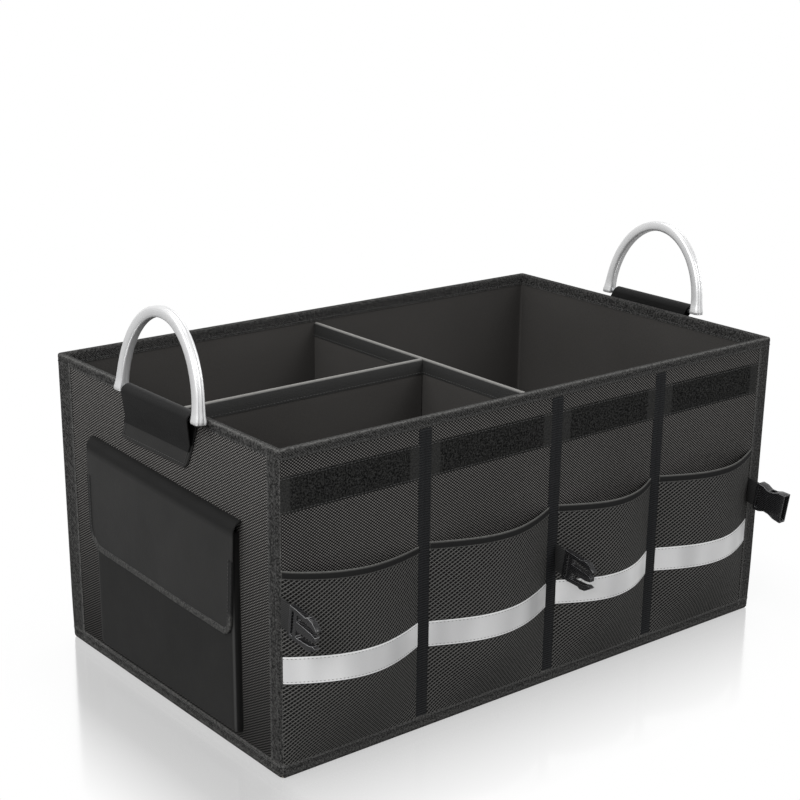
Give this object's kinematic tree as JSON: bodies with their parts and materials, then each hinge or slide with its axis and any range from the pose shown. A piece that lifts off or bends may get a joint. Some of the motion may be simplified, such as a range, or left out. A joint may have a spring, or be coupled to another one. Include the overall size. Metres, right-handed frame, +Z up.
{
  "type": "car trunk organizer",
  "caption": "Open board-stiffened cloth box for a car trunk, with dividers, mesh front pockets, a flapped side pocket and swinging metal carry handles.",
  "frame": {"origin": "middle of the underside of the base, on the floor", "axes": "+Z up; +X along the length, away from the end with the side pocket; the face with the mesh pockets looks along -Y"},
  "size_m": [0.6145, 0.4062, 0.3698],
  "materials": {
    "oxford": "dark charcoal coarse oxford weave",
    "binding": "black woven binding tape, stitched",
    "fold_tape": "black cross-ribbed tape",
    "fastening_tape": "black looped hook-and-loop tape",
    "mesh": "black diagonal spacer mesh",
    "elastic": "black folded elastic edging",
    "reflective": "silver-grey reflective tape",
    "lining": "smooth dark grey-brown nonwoven lining",
    "board": "grey-brown pressed board",
    "leatherette": "smooth satin black leatherette",
    "webbing": "black woven webbing",
    "aluminium": "satin silver, lightly brushed",
    "steel": "bright drawn bar",
    "buckle_plastic": "black moulded plastic, semi-gloss"
  },
  "bodies": {
    "organizer_body": {"bottom_cover": "oxford", "front_cover": "oxford", "back_cover": "oxford", "left_cover": "oxford", "right_cover": "oxford", "front_board_1": "board", "front_board_2": "board", "front_board_3": "board", "front_board_4": "board", "back_board_1": "board", "back_board_2": "board", "back_board_3": "board", "back_board_4": "board", "left_board": "board", "right_board": "board", "base_board_left": "board", "base_board_right": "board", "inner_lining": "lining", "cross_divider": "lining", "long_divider": "lining", "front_binding": "binding", "back_binding": "binding", "left_binding": "binding", "right_binding": "binding", "cross_divider_binding": "binding", "long_divider_binding": "binding", "fold_strip_1": "fold_tape", "fold_strip_2": "fold_tape", "fold_strip_3": "fold_tape", "fastening_band_1": "fastening_tape", "fastening_band_2": "fastening_tape", "fastening_band_3": "fastening_tape", "fastening_band_4": "fastening_tape", "mesh_pocket_1": "mesh", "mesh_pocket_2": "mesh", "mesh_pocket_3": "mesh", "mesh_pocket_4": "mesh", "pocket_elastic_1": "elastic", "pocket_elastic_2": "elastic", "pocket_elastic_3": "elastic", "pocket_elastic_4": "elastic", "reflective_tape_1": "reflective", "reflective_tape_2": "reflective", "reflective_tape_3": "reflective", "reflective_tape_4": "reflective", "side_pocket": "leatherette", "left_handle_sleeve": "leatherette", "right_handle_sleeve": "leatherette", "corner_webbing": "webbing", "middle_webbing": "webbing", "socket_webbing": "webbing", "corner_clip": "buckle_plastic", "middle_clip": "buckle_plastic", "socket_buckle": "buckle_plastic"},
    "left_handle": {"left_handle_bow": "aluminium", "left_handle_bar": "steel"},
    "right_handle": {"right_handle_bow": "aluminium", "right_handle_bar": "steel"},
    "pocket_flap": {"side_pocket_flap": "leatherette"}
  },
  "joints": [
    {"name": "left_handle_swing", "type": "hinge", "parent": "organizer_body", "child": "left_handle", "pos_m": [-0.299, -0.0175, 0.2855], "axis": [0, -1, 0], "range_deg": [-40, 105]},
    {"name": "right_handle_swing", "type": "hinge", "parent": "organizer_body", "child": "right_handle", "pos_m": [0.299, -0.0115, 0.2885], "axis": [0, 1, 0], "range_deg": [-45, 130]},
    {"name": "pocket_flap_lift", "type": "hinge", "parent": "organizer_body", "child": "pocket_flap", "pos_m": [-0.2903, -0.006, 0.217], "axis": [0, 1, 0], "range_deg": [0, 90]}
  ]
}
